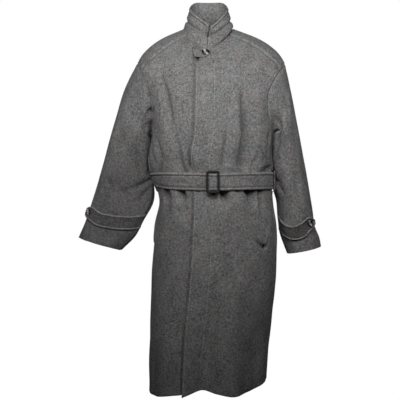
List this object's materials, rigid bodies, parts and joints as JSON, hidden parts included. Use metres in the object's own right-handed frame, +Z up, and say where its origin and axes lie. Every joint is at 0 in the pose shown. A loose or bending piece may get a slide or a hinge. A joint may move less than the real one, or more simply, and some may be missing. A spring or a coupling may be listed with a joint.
{
  "type": "belted overcoat",
  "caption": "Long heavy-wool overcoat with an upturned collar, overlapping fronts, buckled cloth belt, strapped cuffs and slanted pocket welts, standing hollow as worn.",
  "frame": {"origin": "middle of the neck opening, level with the points where the shoulder seams reach the collar", "axes": "+Z up, -Y out of the coat's front, +X towards the wearer's left"},
  "size_m": [0.787, 0.348, 1.2711],
  "materials": {
    "wool": "matt heavy wool coating in a fine grey herringbone",
    "horn": "dark polished horn-like button",
    "leather": "dark smooth leather covering the buckle"
  },
  "bodies": {
    "root": {"back": "wool", "front_left": "wool", "front_right": "wool", "sleeve_left_top": "wool", "sleeve_left_under": "wool", "sleeve_right_top": "wool", "sleeve_right_under": "wool", "collar_stand": "wool", "collar_leaf": "wool", "belt": "wool", "belt_loop_left": "wool", "belt_loop_right": "wool", "cuff_strap_left": "wool", "cuff_strap_right": "wool", "pocket_welt_left": "wool", "pocket_welt_right": "wool", "throat_tab": "wool", "neck_button": "horn", "cuff_button_left": "horn", "cuff_button_right": "horn", "buckle": "leather"}
  },
  "joints": []
}
